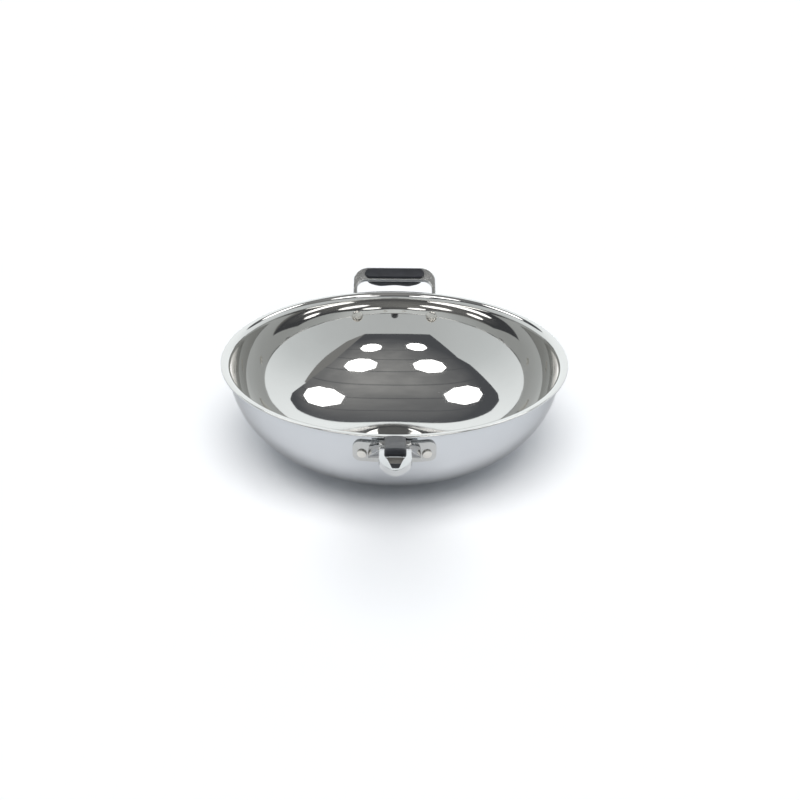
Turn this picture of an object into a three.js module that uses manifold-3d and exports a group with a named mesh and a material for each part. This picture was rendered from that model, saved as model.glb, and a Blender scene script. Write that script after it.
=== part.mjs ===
import * as THREE from "three";
import { mergeVertices, toCreasedNormals } from "three/addons/utils/BufferGeometryUtils.js";
import Module from "manifold-3d";

const wasm = await Module();
wasm.setup();

// A flat-bottomed wok with two riveted handles. Sizes are in millimetres.
// The flat underside lies on z = 0 about the origin, the long handle points along -Y.

// Bowl
const BOWL_HEIGHT = 109; // underside to the top of the lip
const RIM_RADIUS = 178; // outer edge of the lip
const BASE_RADIUS = 36; // flat part of the underside
const BASE_ANGLE = THREE.MathUtils.degToRad(4); // slope of the dished floor where the flat ends
const WALL = 2.4; // sheet thickness
const LIP_REACH = 7.3; // lip edge beyond the wall
const LIP_BEND = 4; // bend radius under the lip
const WALL_PULL = 0.22; // how much of the height the upper wall stays upright
const BASE_PULL = 0.905; // how much of the run the floor keeps near that slope
const TURN_STEPS = 64; // facets round the bowl
const WALL_STEPS = 11; // facets up the wall

// Clearances
const FIT = 0.3; // between two pieces that touch

// Rivets
const SHANK_RADIUS = 2.4;
const OUTER_HEAD_RADIUS = 4.5;
const OUTER_HEAD_HEIGHT = 2;
const INNER_HEAD_RADIUS = 5.9;
const INNER_HEAD_HEIGHT = 2.2;

// Long handle, measured along its arched centreline
const FLANGE_WIDTH = 74;
const FLANGE_HEIGHT = 22;
const FLANGE_DROP = 20; // lip to the middle of the flange
const FLANGE_THICK = 2.6;
const FLANGE_CORNER = 7;
const FLANGE_RIVET_SPACING = 58;
const FLANGE_RIVET_DROP = 21; // lip to the rivets
const HANDLE_REACH = 173; // wall to the tip, level
const HANDLE_RISE = 81; // flange to the tip, upright
const ROOT_ANGLE = THREE.MathUtils.degToRad(38);
const TIP_ANGLE = THREE.MathUtils.degToRad(6);
const ARCH_PULL = 70; // length of the two handles of the arch
const FRAME_THICK = 5;
const ROOT_THICK = 9;
const GRIP_WIDTH = 26; // frame beside the grips
const ROOT_WIDTH = 48; // fish tail at the flange
const ROOT_LENGTH = 40; // over which the fish tail narrows
const TIP_WIDTH = 25;
const TIP_ROUND = 14; // length of the rounded tip
const HOLE_LENGTH = 22;
const HOLE_REAR_WIDTH = 13.5;
const HOLE_FRONT_WIDTH = 6.5;
const HOLE_MARGIN = 4.5; // metal between the hole and the tip
const HOLE_CORNER = 2;
const GRIP_REAR = 46; // root to the rear end of the upper grip
const GRIP_HOLE_GAP = 4; // upper grip to the hanging hole
const UPPER_GRIP_WIDTH = 15.6;
const LOWER_GRIP_WIDTH = 17;
const GRIP_PROUD = 4.4; // upper grip above the frame
const LOWER_GRIP_DEPTH = 8; // lower grip below the frame
const RECESS = 1.2; // pocket that the upper grips sit in

// Loop handle, measured in its sloping plane
const LOOP_ANGLE = THREE.MathUtils.degToRad(33);
const LOOP_DROP = 12.2; // lip to where the plane meets the wall
const LOOP_WIDTH = 97;
const LOOP_REACH = 49.9; // wall to the outer edge
const LOOP_BAR = 18; // outer bar, inner edge to outer edge
const LOOP_LEG = 4.4;
const LOOP_OUTER_CORNER = 18;
const LOOP_INNER_CORNER = 11;
const LOOP_THICK = 4.6;
const LOOP_EDGE = 1.1; // rounding of the edges
const FOOT_WIDTH = 22;
const FOOT_HEIGHT = 30;
const FOOT_DROP = 25.7; // lip to the rivets and the middle of the feet
const FOOT_SPACING = 88;
const FOOT_CORNER = 9;
const LOOP_UPPER_LENGTH = 71;
const LOOP_UPPER_WIDTH = 13.6;
const LOOP_UPPER_PROUD = 3;
const LOOP_LOWER_LENGTH = 65;
const LOOP_LOWER_WIDTH = 17.4;
const LOOP_LOWER_DEPTH = 11;
const LOOP_LOWER_WAVE = 1.6; // how much the middle of the lower grip is hollowed

// Screws that draw each pair of grips together from below
const SCREW_RADIUS = 1.5;
const SCREW_HEAD_RADIUS = 2.7;
const SCREW_HEAD_HEIGHT = 2;
const SCREW_SINK = 1.2; // head below the face of the lower grip
const BOSS_RADIUS = 3.6; // boss of the upper grip, through the frame
const GRIP_SCREW_INSET = 17; // end of the grip to the screw
const LOOP_SCREW_SPACING = 40;

// Sizes that follow from those above
const WALL_TOP = BOWL_HEIGHT - WALL - LIP_BEND;
const WALL_RADIUS = RIM_RADIUS - LIP_REACH;
const DISH_PULL = BASE_PULL * (WALL_RADIUS - BASE_RADIUS);
const HALF_FRAME = FRAME_THICK / 2;
const HALF_LOOP = LOOP_THICK / 2;
const LOOP_BAR_CENTRE = LOOP_REACH - LOOP_BAR / 2;
const UPWARD = new THREE.Vector3(0, 0, 1);

const steel = (color, roughness) => new THREE.MeshStandardMaterial({ color, roughness, metalness: 1 });
const POLISHED = steel(0xd4d2cf, 0.12);
const SATIN = steel(0xbdbab6, 0.3);
const BLACK = new THREE.MeshStandardMaterial({ color: 0x17181a, roughness: 0.45, metalness: 0 });

// Closed manifold solid of a geometry, turned to face outward.
function solid(geometry) {
  const bare = geometry.clone();
  bare.deleteAttribute("normal");
  bare.deleteAttribute("uv");
  const merged = mergeVertices(bare, 1e-4);
  const at = (i) => new THREE.Vector3().fromBufferAttribute(merged.attributes.position, i);
  const corners = merged.index.array;
  const faces = [];
  let volume = 0;
  for (let i = 0; i < corners.length; i += 3) {
    const [a, b, c] = corners.slice(i, i + 3);
    if (a !== b && b !== c && c !== a) {
      faces.push([a, b, c]);
      volume += at(a).dot(at(b).cross(at(c)));
    }
  }
  const turned = volume < 0 ? faces.map(([a, b, c]) => [a, c, b]) : faces;
  const mesh = new wasm.Mesh({
    numProp: 3,
    vertProperties: new Float32Array(merged.attributes.position.array),
    triVerts: new Uint32Array(turned.flat()),
  });
  mesh.merge();
  return new wasm.Manifold(mesh);
}

function piece(name, body, material) {
  const mesh = body.getMesh();
  const geometry = new THREE.BufferGeometry();
  geometry.setAttribute("position", new THREE.BufferAttribute(new Float32Array(mesh.vertProperties), 3));
  geometry.setIndex(Array.from(mesh.triVerts));
  const node = new THREE.Mesh(toCreasedNormals(geometry, 0.6), material);
  node.name = name;
  return node;
}

// Closed solid through a row of rings that all have the same number of points.
function loft(rings) {
  const count = rings[0].length;
  const index = [];
  for (let i = 0; i + 1 < rings.length; i++) {
    for (let j = 0; j < count; j++) {
      const a = i * count + j;
      const b = i * count + ((j + 1) % count);
      index.push(a, b, a + count, b, b + count, a + count);
    }
  }
  const last = (rings.length - 1) * count;
  for (let j = 1; j + 1 < count; j++) {
    index.push(0, j + 1, j, last, last + j, last + j + 1);
  }
  const geometry = new THREE.BufferGeometry().setFromPoints(rings.flat());
  geometry.setIndex(index);
  return solid(geometry);
}

// Solid of revolution about Z from [radius, height] points.
function turned(points, steps) {
  const line = points.map(([r, z]) => new THREE.Vector2(r, z));
  return new THREE.LatheGeometry(line, steps).rotateX(Math.PI / 2);
}

function rod(radius, from, to) {
  return turned([[0, from], [radius, from], [radius, to], [0, to]], 16);
}

function roundedRectangle(width, height, corner) {
  const x = width / 2 - corner;
  const y = height / 2 - corner;
  const shape = new THREE.Shape();
  shape.absarc(x, y, corner, 0, Math.PI / 2);
  shape.absarc(-x, y, corner, Math.PI / 2, Math.PI);
  shape.absarc(-x, -y, corner, Math.PI, 1.5 * Math.PI);
  shape.absarc(x, -y, corner, 1.5 * Math.PI, 2 * Math.PI);
  return shape;
}

// Outer line of the wall, from the flat underside up to the lip.
const wallCurve = new THREE.CubicBezierCurve(
  new THREE.Vector2(BASE_RADIUS, 0),
  new THREE.Vector2(BASE_RADIUS + DISH_PULL * Math.cos(BASE_ANGLE), DISH_PULL * Math.sin(BASE_ANGLE)),
  new THREE.Vector2(WALL_RADIUS, WALL_TOP * (1 - WALL_PULL)),
  new THREE.Vector2(WALL_RADIUS, WALL_TOP),
);

// Point of the wall moved outward along its normal.
function wallPoint(t, outward) {
  const p = wallCurve.getPoint(t);
  const along = wallCurve.getTangent(t);
  return [p.x + along.y * outward, p.y - along.x * outward];
}

function wallLine(outward) {
  return Array.from({ length: WALL_STEPS + 1 }, (_, i) => wallPoint(i / WALL_STEPS, outward));
}

// Share of the way up the wall curve at which it reaches a height.
function wallShare(height) {
  let low = 0;
  let high = 1;
  for (let i = 0; i < 40; i++) {
    const middle = (low + high) / 2;
    if (wallCurve.getPoint(middle).y < height) low = middle;
    else high = middle;
  }
  return low;
}

function arc(centreR, centreZ, radius, from, to, steps) {
  return Array.from({ length: steps + 1 }, (_, i) => {
    const angle = from + ((to - from) * i) / steps;
    return [centreR + radius * Math.cos(angle), centreZ + radius * Math.sin(angle)];
  });
}

// Frame on the wall: origin on its outer face, local Z along the outward normal.
function wallFrame(x, height, side) {
  const t = wallShare(height);
  const p = wallCurve.getPoint(t);
  const along = wallCurve.getTangent(t);
  const y = side * Math.sqrt(p.x * p.x - x * x);
  const normal = new THREE.Vector3((along.y * x) / p.x, (along.y * y) / p.x, -along.x);
  const turn = new THREE.Quaternion().setFromUnitVectors(UPWARD, normal);
  const place = new THREE.Vector3(x, y, height);
  return new THREE.Matrix4().compose(place, turn, new THREE.Vector3(1, 1, 1));
}

// The two rivet frames of one handle, on its side of the bowl.
function rivetFrames(spacing, drop, side) {
  return [-1, 1].map((s) => wallFrame((s * spacing) / 2, BOWL_HEIGHT - drop, side));
}

const longRivets = rivetFrames(FLANGE_RIVET_SPACING, FLANGE_RIVET_DROP, -1);
const loopRivets = rivetFrames(FOOT_SPACING, FOOT_DROP, 1);

function rivetHole(frame) {
  const depth = 4 * (WALL + FLANGE_THICK);
  return solid(rod(SHANK_RADIUS + FIT, -depth, depth).applyMatrix4(frame));
}

// The wall with a clearance on both faces, open where a rivet's shank passes.
function wallSpace(frame) {
  const skin = [...wallLine(FIT), ...wallLine(-WALL - FIT).reverse()];
  return solid(turned([...skin, skin[0]], TURN_STEPS)).subtract(rivetHole(frame));
}

// Rivet with its large head formed to the inside of the bowl and its small head on the handle plate.
function rivet(name, frame, plate) {
  const inner = -WALL;
  const outer = plate + 2 * FIT;
  const cap = (radius, base, rise) =>
    arc(0, 0, 1, 0, Math.PI / 2, 3).map(([c, s]) => [radius * c, base + rise * s]);
  const profile = [
    ...cap(INNER_HEAD_RADIUS, inner, -INNER_HEAD_HEIGHT).reverse(),
    [SHANK_RADIUS, inner],
    [SHANK_RADIUS, outer],
    ...cap(OUTER_HEAD_RADIUS, outer, OUTER_HEAD_HEIGHT),
  ];
  const blank = solid(turned(profile, 16).applyMatrix4(frame));
  return piece(name, blank.subtract(wallSpace(frame)), POLISHED);
}

function bowl() {
  const bendR = WALL_RADIUS + LIP_BEND;
  const edgeR = RIM_RADIUS - WALL / 2;
  const outside = [
    [0, 0],
    ...wallLine(0),
    ...arc(bendR, WALL_TOP, LIP_BEND, Math.PI, Math.PI / 2, 3).slice(1),
    ...arc(edgeR, BOWL_HEIGHT - WALL / 2, WALL / 2, -Math.PI / 2, Math.PI / 2, 4),
  ];
  const inside = [
    ...arc(bendR, WALL_TOP, LIP_BEND + WALL, Math.PI / 2, Math.PI, 4).slice(0, -1),
    ...wallLine(-WALL).reverse(),
    [0, WALL],
  ];
  const shell = solid(turned([...outside, ...inside], TURN_STEPS));
  const holes = [...longRivets, ...loopRivets].map(rivetHole);
  return piece("bowl", holes.reduce((rest, hole) => rest.subtract(hole), shell), POLISHED);
}

// Everything within a clearance of the bowl, up to above the lip.
function bowlEnvelope() {
  const line = wallLine(FIT);
  const top = [line.at(-1)[0], BOWL_HEIGHT];
  return solid(turned([[0, -FIT], ...line, top, [0, BOWL_HEIGHT]], TURN_STEPS));
}

const envelope = bowlEnvelope();

// Plate that follows the wall, cut to an outline seen along Y.
function wallPlate(outline, x, height, thick, side) {
  const skin = [...wallLine(FIT), ...wallLine(FIT + thick).reverse()];
  const ring = solid(turned([...skin, skin[0]], TURN_STEPS));
  const block = new THREE.ExtrudeGeometry(outline, { depth: RIM_RADIUS, bevelEnabled: false, curveSegments: 5 });
  block.rotateX(Math.PI / 2).translate(x, side > 0 ? RIM_RADIUS : 0, height);
  return ring.intersect(solid(block));
}

// Arched centreline of the long handle, as reach from the axis and height.
const root = new THREE.Vector2(WALL_RADIUS, BOWL_HEIGHT - FLANGE_DROP);
const tip = root.clone().add(new THREE.Vector2(HANDLE_REACH, HANDLE_RISE));
const archStep = (angle) => new THREE.Vector2(Math.cos(angle), Math.sin(angle)).multiplyScalar(ARCH_PULL);
const arch = new THREE.CubicBezierCurve(
  root,
  root.clone().add(archStep(ROOT_ANGLE)),
  tip.clone().sub(archStep(TIP_ANGLE)),
  tip,
);
const ARCH_LENGTH = arch.getLength();
const HOLE_FRONT = ARCH_LENGTH - HOLE_MARGIN;
const HOLE_REAR = HOLE_FRONT - HOLE_LENGTH;
const GRIP_FRONT = HOLE_REAR - GRIP_HOLE_GAP;

// Frame on the arch: local X across, local Y along the handle, local Z up from the centreline.
function archFrame(s) {
  const u = THREE.MathUtils.clamp(s / ARCH_LENGTH, 0, 1);
  const p = arch.getPointAt(u);
  const t = arch.getTangentAt(u);
  const past = s - u * ARCH_LENGTH;
  const basis = new THREE.Matrix4().makeBasis(
    new THREE.Vector3(-1, 0, 0),
    new THREE.Vector3(0, -t.x, t.y),
    new THREE.Vector3(0, t.y, t.x),
  );
  return basis.setPosition(0, -p.x - past * t.x, p.y + past * t.y);
}

function archRing(s, section) {
  return section.map(([x, h]) => new THREE.Vector3(x, 0, h).applyMatrix4(archFrame(s)));
}

function frameHalfWidth(s) {
  const flare = 1 - THREE.MathUtils.smoothstep(s, 0, ROOT_LENGTH);
  const taper = THREE.MathUtils.smoothstep(s, GRIP_REAR, ARCH_LENGTH - TIP_ROUND);
  const body = THREE.MathUtils.lerp(GRIP_WIDTH, TIP_WIDTH, taper);
  return (body + flare * (ROOT_WIDTH - GRIP_WIDTH)) / 2;
}

function frameHalfThick(s) {
  const flare = 1 - THREE.MathUtils.smoothstep(s, 0, ROOT_LENGTH);
  return (FRAME_THICK + flare * (ROOT_THICK - FRAME_THICK)) / 2;
}

// Flat strip section with half-round edges.
function stripSection(halfWidth, halfThick) {
  const inner = Math.max(halfWidth - halfThick, 0.2 * halfWidth);
  const edge = halfWidth - inner;
  const half = arc(0, 0, 1, -Math.PI / 2, Math.PI / 2, 6).map(([c, s]) => [inner + edge * c, halfThick * s]);
  return [...half, ...half.map(([x, h]) => [-x, -h])];
}

// Half oval that stands on its base, for the grips.
function gripSection(halfWidth, base, crown) {
  const power = 0.62;
  return arc(0, 0, 1, 0, Math.PI, 10).map(([c, s]) => [
    halfWidth * Math.sign(c) * Math.abs(c) ** power,
    base + (crown - base) * Math.abs(s) ** power,
  ]);
}

// Places along a bar with round ends, each with its share of the full width.
function roundEnded(from, to, round, steps) {
  const ends = arc(0, 0, 1, 0, 0.46 * Math.PI, 5);
  const rear = ends.map(([c, s]) => [from + round * (1 - s), c]).reverse();
  const front = ends.map(([c, s]) => [to - round * (1 - s), c]);
  const span = to - from - 2 * round;
  const middle = Array.from({ length: steps - 1 }, (_, i) => [from + round + (span * (i + 1)) / steps, 1]);
  return [...rear, ...middle, ...front];
}

// Grip on the long handle between two places, from its seat to its crown.
function archGrip(from, to, width, seat, crown) {
  return loft(
    roundEnded(from, to, width / 2, 12).map(([s, share]) => {
      const edge = seat + (crown - seat) * share ** 0.35;
      return archRing(s, gripSection((share * width) / 2, seat, edge));
    }),
  );
}

function strip() {
  const start = -ROOT_THICK;
  const body = Array.from({ length: 25 }, (_, i) => {
    const s = start + ((ARCH_LENGTH - TIP_ROUND - start) * i) / 24;
    return archRing(s, stripSection(frameHalfWidth(s), frameHalfThick(s)));
  });
  const end = arc(0, 0, 1, 0, 0.48 * Math.PI, 8).slice(1).map(([c, sine]) => {
    const s = ARCH_LENGTH - TIP_ROUND * (1 - sine);
    return archRing(s, stripSection(frameHalfWidth(s) * c, HALF_FRAME));
  });
  return loft([...body, ...end]);
}

function hangingHole() {
  const rear = HOLE_REAR_WIDTH / 2 - HOLE_CORNER;
  const front = HOLE_FRONT_WIDTH / 2 - HOLE_CORNER;
  const half = HOLE_LENGTH / 2 - HOLE_CORNER;
  const shape = new THREE.Shape();
  shape.absarc(front, half, HOLE_CORNER, 0.1, Math.PI / 2);
  shape.absarc(-front, half, HOLE_CORNER, Math.PI / 2, Math.PI - 0.1);
  shape.absarc(-rear, -half, HOLE_CORNER, Math.PI - 0.1, 1.5 * Math.PI);
  shape.absarc(rear, -half, HOLE_CORNER, 1.5 * Math.PI, 2 * Math.PI + 0.1);
  const cut = new THREE.ExtrudeGeometry(shape, { depth: 4 * FRAME_THICK, bevelEnabled: false, curveSegments: 4 });
  cut.translate(0, 0, -2 * FRAME_THICK);
  return solid(cut.applyMatrix4(archFrame((HOLE_REAR + HOLE_FRONT) / 2)));
}

const gripScrewFrames = [GRIP_REAR + GRIP_SCREW_INSET, GRIP_FRONT - GRIP_SCREW_INSET].map(archFrame);

function bossHole(frame, thick) {
  return solid(rod(BOSS_RADIUS + FIT, -thick, thick).applyMatrix4(frame));
}

function longHandleFrame() {
  const plate = wallPlate(
    roundedRectangle(FLANGE_WIDTH, FLANGE_HEIGHT, FLANGE_CORNER),
    0,
    BOWL_HEIGHT - FLANGE_DROP,
    FLANGE_THICK,
    -1,
  );
  const pocket = archGrip(
    GRIP_REAR - FIT,
    GRIP_FRONT + FIT,
    UPPER_GRIP_WIDTH + 2 * FIT,
    HALF_FRAME - RECESS,
    HALF_FRAME + 3 * GRIP_PROUD,
  );
  const cuts = [
    envelope,
    pocket,
    hangingHole(),
    ...longRivets.map(rivetHole),
    ...gripScrewFrames.map((frame) => bossHole(frame, FRAME_THICK)),
  ];
  const body = cuts.reduce((rest, cut) => rest.subtract(cut), plate.add(strip()));
  return piece("long_handle_frame", body, SATIN);
}

// Depths below the frame's middle that a grip screw reaches, given the lower grip's face.
function screwLine(face, halfThick) {
  const head = -face + SCREW_SINK;
  return { head, neck: head + SCREW_HEAD_HEIGHT, end: halfThick - RECESS };
}

function screw(name, frame, line) {
  const profile = [
    [0, line.head],
    [SCREW_HEAD_RADIUS, line.head],
    [SCREW_RADIUS, line.neck],
    [SCREW_RADIUS, line.end],
    [0, line.end],
  ];
  return piece(name, solid(turned(profile, 16).applyMatrix4(frame)), POLISHED);
}

// Stepped hole for a grip screw, open below the lower grip.
function screwHole(frame, line) {
  const profile = [
    [0, line.head - 4 * SCREW_SINK],
    [SCREW_HEAD_RADIUS + FIT, line.head - 4 * SCREW_SINK],
    [SCREW_HEAD_RADIUS + FIT, line.head],
    [SCREW_RADIUS + FIT, line.neck + FIT],
    [SCREW_RADIUS + FIT, line.end + FIT],
    [0, line.end + FIT],
  ];
  return solid(turned(profile, 16).applyMatrix4(frame));
}

const gripScrewLine = screwLine(HALF_FRAME + LOWER_GRIP_DEPTH, HALF_FRAME);

// Upper grip with two bosses that pass through the frame to meet the lower grip.
function bossed(top, frames, halfThick, line) {
  const bosses = frames.map((frame) => solid(rod(BOSS_RADIUS, -halfThick, halfThick).applyMatrix4(frame)));
  const whole = bosses.reduce((rest, boss) => rest.add(boss), top);
  return frames.reduce((rest, frame) => rest.subtract(screwHole(frame, line)), whole);
}

function longUpperGrip() {
  const top = archGrip(
    GRIP_REAR,
    GRIP_FRONT,
    UPPER_GRIP_WIDTH,
    HALF_FRAME - RECESS + FIT,
    HALF_FRAME + GRIP_PROUD,
  );
  return piece("long_handle_upper_grip", bossed(top, gripScrewFrames, HALF_FRAME, gripScrewLine), BLACK);
}

function longLowerGrip() {
  const seat = -HALF_FRAME - FIT;
  const body = archGrip(GRIP_REAR, GRIP_FRONT, LOWER_GRIP_WIDTH, seat, -HALF_FRAME - LOWER_GRIP_DEPTH);
  const cut = gripScrewFrames.reduce((rest, frame) => rest.subtract(screwHole(frame, gripScrewLine)), body);
  return piece("long_handle_lower_grip", cut, BLACK);
}

// Frame of the loop handle: local X across, local Y outward, local Z square to its plane.
const loopFrame = new THREE.Matrix4()
  .makeRotationX(LOOP_ANGLE)
  .setPosition(0, WALL_RADIUS, BOWL_HEIGHT - LOOP_DROP);

const loopScrewFrames = [-1, 1].map((side) =>
  loopFrame.clone().multiply(
    new THREE.Matrix4().makeTranslation((side * LOOP_SCREW_SPACING) / 2, LOOP_BAR_CENTRE, 0),
  ),
);

function loopOutline() {
  const out = LOOP_WIDTH / 2;
  const side = out - LOOP_LEG;
  const bar = LOOP_REACH - LOOP_BAR;
  const foot = -LOOP_WIDTH / 4;
  const shape = new THREE.Shape();
  shape.moveTo(out, foot);
  shape.absarc(out - LOOP_OUTER_CORNER, LOOP_REACH - LOOP_OUTER_CORNER, LOOP_OUTER_CORNER, 0, Math.PI / 2);
  shape.absarc(LOOP_OUTER_CORNER - out, LOOP_REACH - LOOP_OUTER_CORNER, LOOP_OUTER_CORNER, Math.PI / 2, Math.PI);
  shape.lineTo(-out, foot);
  shape.lineTo(-side, foot);
  shape.absarc(LOOP_INNER_CORNER - side, bar - LOOP_INNER_CORNER, LOOP_INNER_CORNER, Math.PI, Math.PI / 2, true);
  shape.absarc(side - LOOP_INNER_CORNER, bar - LOOP_INNER_CORNER, LOOP_INNER_CORNER, Math.PI / 2, 0, true);
  shape.lineTo(side, foot);
  return shape;
}

function loopStrip() {
  const geometry = new THREE.ExtrudeGeometry(loopOutline(), {
    depth: LOOP_THICK - 2 * LOOP_EDGE,
    bevelThickness: LOOP_EDGE,
    bevelSize: LOOP_EDGE,
    bevelOffset: -LOOP_EDGE,
    bevelSegments: 2,
    curveSegments: 6,
  });
  geometry.translate(0, 0, LOOP_EDGE - HALF_LOOP);
  return solid(geometry.applyMatrix4(loopFrame));
}

// Grip on the loop's outer bar, with a wave that hollows the middle of its crown.
function loopGrip(length, width, seat, crown, wave) {
  const half = length / 2;
  return loft(
    roundEnded(-half, half, width / 2, 12).map(([x, share]) => {
      const hollow = (wave * (1 + Math.cos((2 * Math.PI * x) / half))) / 2;
      const edge = seat + (crown - hollow - seat) * share ** 0.35;
      return gripSection((share * width) / 2, seat, edge).map(([y, h]) =>
        new THREE.Vector3(x, LOOP_BAR_CENTRE + y, h).applyMatrix4(loopFrame),
      );
    }),
  );
}

function loopHandleFrame() {
  const outline = roundedRectangle(FOOT_WIDTH, FOOT_HEIGHT, FOOT_CORNER);
  const feet = [-1, 1].map((s) =>
    wallPlate(outline, (s * FOOT_SPACING) / 2, BOWL_HEIGHT - FOOT_DROP, FLANGE_THICK, 1),
  );
  const pocket = loopGrip(
    LOOP_UPPER_LENGTH + 2 * FIT,
    LOOP_UPPER_WIDTH + 2 * FIT,
    HALF_LOOP - RECESS,
    HALF_LOOP + 4 * LOOP_UPPER_PROUD,
    0,
  );
  const cuts = [
    envelope,
    pocket,
    ...loopRivets.map(rivetHole),
    ...loopScrewFrames.map((frame) => bossHole(frame, LOOP_THICK)),
  ];
  const body = cuts.reduce((rest, cut) => rest.subtract(cut), loopStrip().add(feet[0]).add(feet[1]));
  return piece("loop_handle_frame", body, SATIN);
}

const loopScrewLine = screwLine(HALF_LOOP + LOOP_LOWER_DEPTH - LOOP_LOWER_WAVE, HALF_LOOP);

function loopUpperGrip() {
  const top = loopGrip(
    LOOP_UPPER_LENGTH,
    LOOP_UPPER_WIDTH,
    HALF_LOOP - RECESS + FIT,
    HALF_LOOP + LOOP_UPPER_PROUD,
    0,
  );
  return piece("loop_handle_upper_grip", bossed(top, loopScrewFrames, HALF_LOOP, loopScrewLine), BLACK);
}

function loopLowerGrip() {
  const seat = -HALF_LOOP - FIT;
  const crown = -HALF_LOOP - LOOP_LOWER_DEPTH;
  const body = loopGrip(LOOP_LOWER_LENGTH, LOOP_LOWER_WIDTH, seat, crown, -LOOP_LOWER_WAVE);
  const cut = loopScrewFrames.reduce((rest, frame) => rest.subtract(screwHole(frame, loopScrewLine)), body);
  return piece("loop_handle_lower_grip", cut, BLACK);
}

const group = new THREE.Group();
group.name = "wok";
group.add(bowl());
group.add(longHandleFrame(), longUpperGrip(), longLowerGrip());
group.add(rivet("long_handle_rivet_left", longRivets[0], FLANGE_THICK));
group.add(rivet("long_handle_rivet_right", longRivets[1], FLANGE_THICK));
group.add(screw("long_handle_screw_rear", gripScrewFrames[0], gripScrewLine));
group.add(screw("long_handle_screw_front", gripScrewFrames[1], gripScrewLine));
group.add(loopHandleFrame(), loopUpperGrip(), loopLowerGrip());
group.add(rivet("loop_handle_rivet_left", loopRivets[0], FLANGE_THICK));
group.add(rivet("loop_handle_rivet_right", loopRivets[1], FLANGE_THICK));
group.add(screw("loop_handle_screw_left", loopScrewFrames[0], loopScrewLine));
group.add(screw("loop_handle_screw_right", loopScrewFrames[1], loopScrewLine));

export default group;
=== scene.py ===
"""Flat-bottomed wok with two riveted handles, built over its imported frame.

Lengths are in metres and in the frame's own axes: the flat underside lies on z = 0,
the long handle points along -Y and the loop handle along +Y.
"""

import math

import bmesh
import bpy
from bpy.props import FloatProperty, FloatVectorProperty, IntProperty, PointerProperty
from mathutils import Euler, Matrix, Vector
from mathutils.geometry import interpolate_bezier


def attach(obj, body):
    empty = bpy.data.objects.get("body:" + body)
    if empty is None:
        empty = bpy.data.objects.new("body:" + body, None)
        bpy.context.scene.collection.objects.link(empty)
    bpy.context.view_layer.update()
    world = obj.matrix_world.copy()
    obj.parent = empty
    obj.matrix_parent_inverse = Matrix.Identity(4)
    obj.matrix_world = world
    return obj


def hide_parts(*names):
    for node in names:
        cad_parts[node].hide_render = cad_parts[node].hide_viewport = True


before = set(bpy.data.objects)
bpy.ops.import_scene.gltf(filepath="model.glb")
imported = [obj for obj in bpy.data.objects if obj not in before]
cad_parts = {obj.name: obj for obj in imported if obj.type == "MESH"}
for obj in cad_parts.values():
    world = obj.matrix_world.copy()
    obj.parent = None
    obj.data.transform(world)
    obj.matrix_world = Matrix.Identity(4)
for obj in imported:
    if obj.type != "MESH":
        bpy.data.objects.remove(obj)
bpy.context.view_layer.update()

bl_info = {
    "name": "Riveted wok",
    "version": (1, 0, 0),
    "blender": (4, 5, 0),
    "location": "3D View > Sidebar > Wok",
    "description": "Builds a flat-bottomed wok with a long handle and a loop handle",
    "category": "Add Mesh",
}

MM = 0.001     # one millimetre
CLEARANCE = 0.3 * MM
SAME_PLACE = 1e-7                 # points this near to each other are one
SMOOTH_LIMIT = math.radians(38)   # edges that turn more than this stay sharp
CIRCLE_PULL = 0.5523              # handle of a curve that draws a quarter circle of radius 1


# ---------------------------------------------------------------- settings

def setting(kind, **fixed):
    """Maker of one kind of setting, from its name, description and default."""
    def make(name, description, default):
        return kind(name=name, description=description, default=default, **fixed)
    return make


metres = setting(FloatProperty, precision=5, unit="LENGTH")
radians = setting(FloatProperty, subtype="ANGLE")
number = setting(FloatProperty)
share = setting(FloatProperty, min=0.0, max=1.0, precision=3, subtype="FACTOR")
colour = setting(FloatVectorProperty, size=3, min=0.0, max=1.0, subtype="COLOR")
position = setting(FloatVectorProperty, size=3, subtype="TRANSLATION", unit="LENGTH")
rotation = setting(FloatVectorProperty, size=3, subtype="EULER")


def length(name, description, millimetres):
    return metres(name, description, millimetres * MM)


def angle(name, description, degrees):
    return radians(name, description, math.radians(degrees))


class BowlSettings(bpy.types.PropertyGroup):
    height: length("Height", "Underside to the top of the lip", 109)
    rim_radius: length("Rim radius", "Outer edge of the lip", 178)
    base_radius: length("Base radius", "Flat part of the underside", 36)
    base_angle: angle("Base angle", "Slope of the dished floor where the flat ends", 4)
    wall: length("Wall", "Thickness of the sheet", 2.4)
    lip_reach: length("Lip reach", "Lip edge beyond the wall", 7.3)
    lip_bend: length("Lip bend", "Bend radius under the lip", 4)
    wall_pull: share("Wall pull", "How much of the height the upper wall stays upright", 0.22)
    base_pull: share("Base pull", "How much of the run the floor keeps near that slope", 0.905)
    turn_steps: IntProperty(name="Turn steps", description="Facets round the bowl", default=240, min=24)


class FastenerSettings(bpy.types.PropertyGroup):
    shank_radius: length("Rivet shank", "Radius of a rivet's shank", 2.4)
    outer_head_radius: length("Outer head", "Radius of a rivet's head on the handle", 4.5)
    outer_head_height: length("Outer head height", "Height of a rivet's head on the handle", 2)
    inner_head_radius: length("Inner head", "Radius of a rivet's head in the bowl", 6.6)
    inner_head_height: length("Inner head height", "Height of a rivet's head in the bowl", 2.2)
    screw_radius: length("Screw shank", "Radius of a grip screw", 1.5)
    screw_head_radius: length("Screw head", "Radius of a grip screw's head", 2.7)
    screw_head_height: length("Screw head height", "Depth of a grip screw's countersunk head", 2)
    screw_sink: length("Screw sink", "Screw head below the face of the lower grip", 1.2)
    recess: length("Recess", "Pocket that the upper grips sit in", 1.2)


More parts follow.
